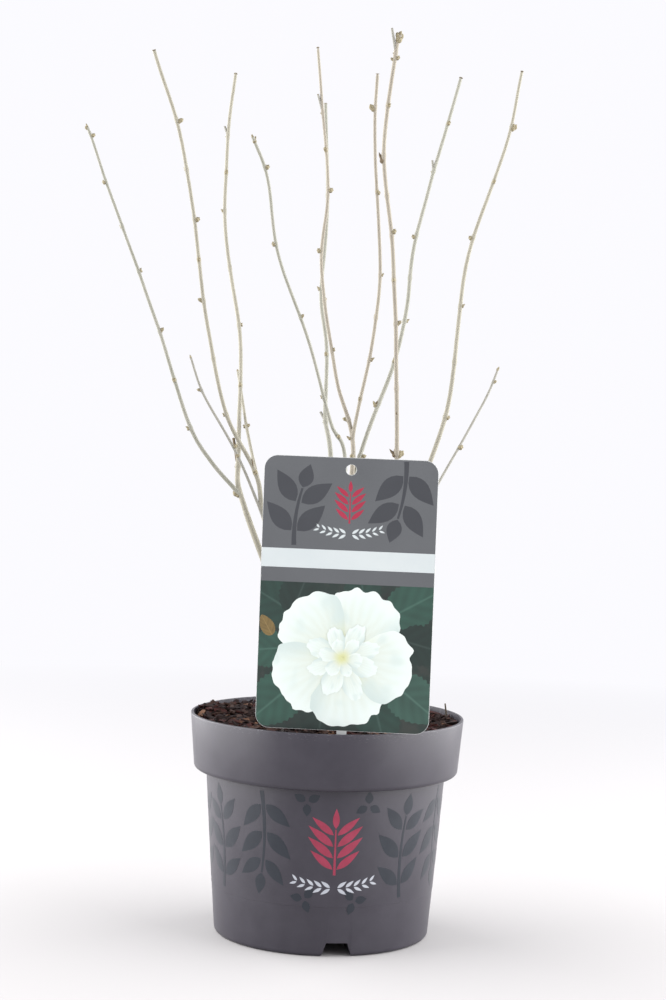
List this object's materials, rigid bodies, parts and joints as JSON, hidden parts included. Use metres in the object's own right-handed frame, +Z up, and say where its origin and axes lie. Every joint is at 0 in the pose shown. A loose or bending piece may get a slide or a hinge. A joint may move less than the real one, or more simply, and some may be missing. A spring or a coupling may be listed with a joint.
{
  "type": "potted rose of sharon shrub",
  "caption": "Leafless winter rose of sharon: bare branching shoots on a short woody base, in a round collared nursery pot of bark soil with a tall label card on a stake.",
  "frame": {"origin": "middle of the pot's flat underside, on the surface that it stands on", "axes": "+Z up along the plant; +X to the right of somebody facing the label card; +Y away from them, so the card is on the -Y side"},
  "size_m": [0.2967, 0.2221, 0.622],
  "materials": {
    "pot_plastic": "satin moulded plastic, grey with a tonal leaf print",
    "bark_soil": "moist chopped bark, rough",
    "label_card": "printed plastic sheet, semi-gloss",
    "old_bark": "fissured grey-tan bark",
    "bark": "smooth pale bark with raised pores",
    "twigs": "smooth pale bark, matt"
  },
  "bodies": {
    "root": {"pot": "pot_plastic", "soil": "bark_soil", "label_card": "label_card", "trunk": "old_bark", "bough_left_outer": "bark", "bough_left_inner": "bark", "bough_front": "bark", "bough_centre": "bark", "bough_back": "bark", "bough_right": "bark", "twigs_left_outer": "twigs", "twigs_left_inner": "twigs", "twigs_front": "twigs", "twigs_centre": "twigs", "twigs_back": "twigs", "twigs_right": "twigs"}
  },
  "joints": []
}
